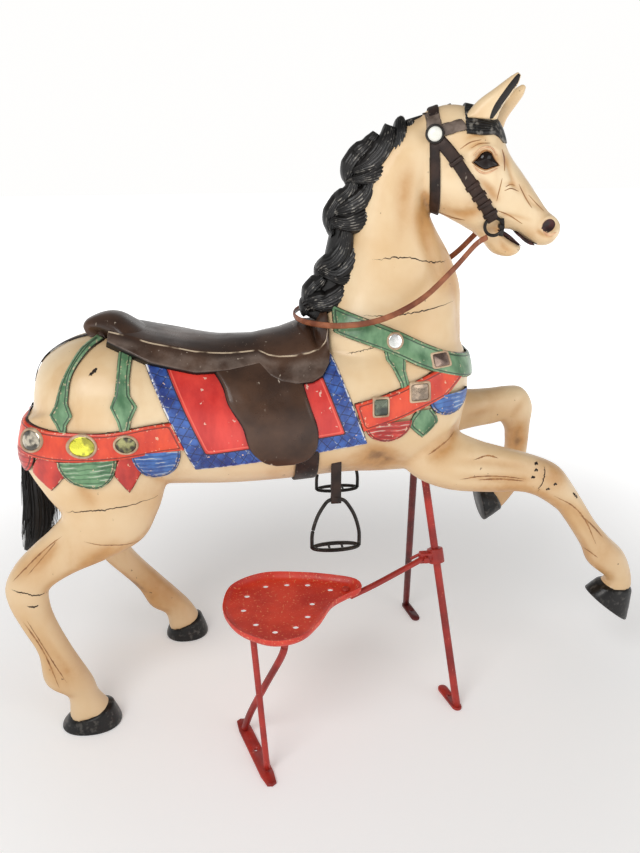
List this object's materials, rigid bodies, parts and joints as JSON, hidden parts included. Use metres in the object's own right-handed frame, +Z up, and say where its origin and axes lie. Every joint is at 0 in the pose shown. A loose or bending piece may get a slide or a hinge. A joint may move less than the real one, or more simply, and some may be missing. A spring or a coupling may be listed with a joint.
{
  "type": "carousel horse",
  "caption": "Carved and painted wooden carousel horse, prancing on its hind hooves, with leather bridle, reins and stirrups, on a red iron stand with a pressed-steel seat.",
  "frame": {"origin": "on the floor, below the middle of the whole object's length and width", "axes": "+X towards the horse's nose, +Z up, -Y towards the decorated side that faces out on the carousel"},
  "size_m": [1.394, 0.5969, 1.3398],
  "materials": {
    "painted_wood": "old cream paint with ochre shading, red, blue and green trappings, satin varnish",
    "horsehair": "loose black horsehair",
    "dark_leather": "dark brown, worn and scratched",
    "rein_leather": "reddish brown, worn",
    "black_iron": "blackened",
    "red_iron": "dull red paint, scratched",
    "mirror_glass": "aged mirror",
    "white_enamel": "glossy white"
  },
  "bodies": {
    "root": {"horse": "painted_wood", "tail": "horsehair", "bridle": "dark_leather", "rosette_near": "white_enamel", "rosette_far": "white_enamel", "bit_ring_near": "black_iron", "bit_ring_far": "black_iron", "stirrup_leather_near": "dark_leather", "stirrup_leather_far": "dark_leather", "stirrup_iron_near": "black_iron", "stirrup_iron_far": "black_iron", "reins": "rein_leather", "jewel_oval_rear": "mirror_glass", "jewel_oval_middle": "mirror_glass", "jewel_oval_front": "mirror_glass", "jewel_round_breast": "mirror_glass", "jewel_square_breast": "mirror_glass", "jewel_square_chest_rear": "mirror_glass", "jewel_square_chest_front": "mirror_glass", "stand_leg_near": "red_iron", "stand_leg_far": "red_iron", "stand_clamp": "red_iron", "seat_arm": "red_iron", "tractor_seat": "red_iron", "seat_leg_straight": "red_iron", "seat_leg_curved": "red_iron", "seat_foot_bar": "red_iron"}
  },
  "joints": []
}
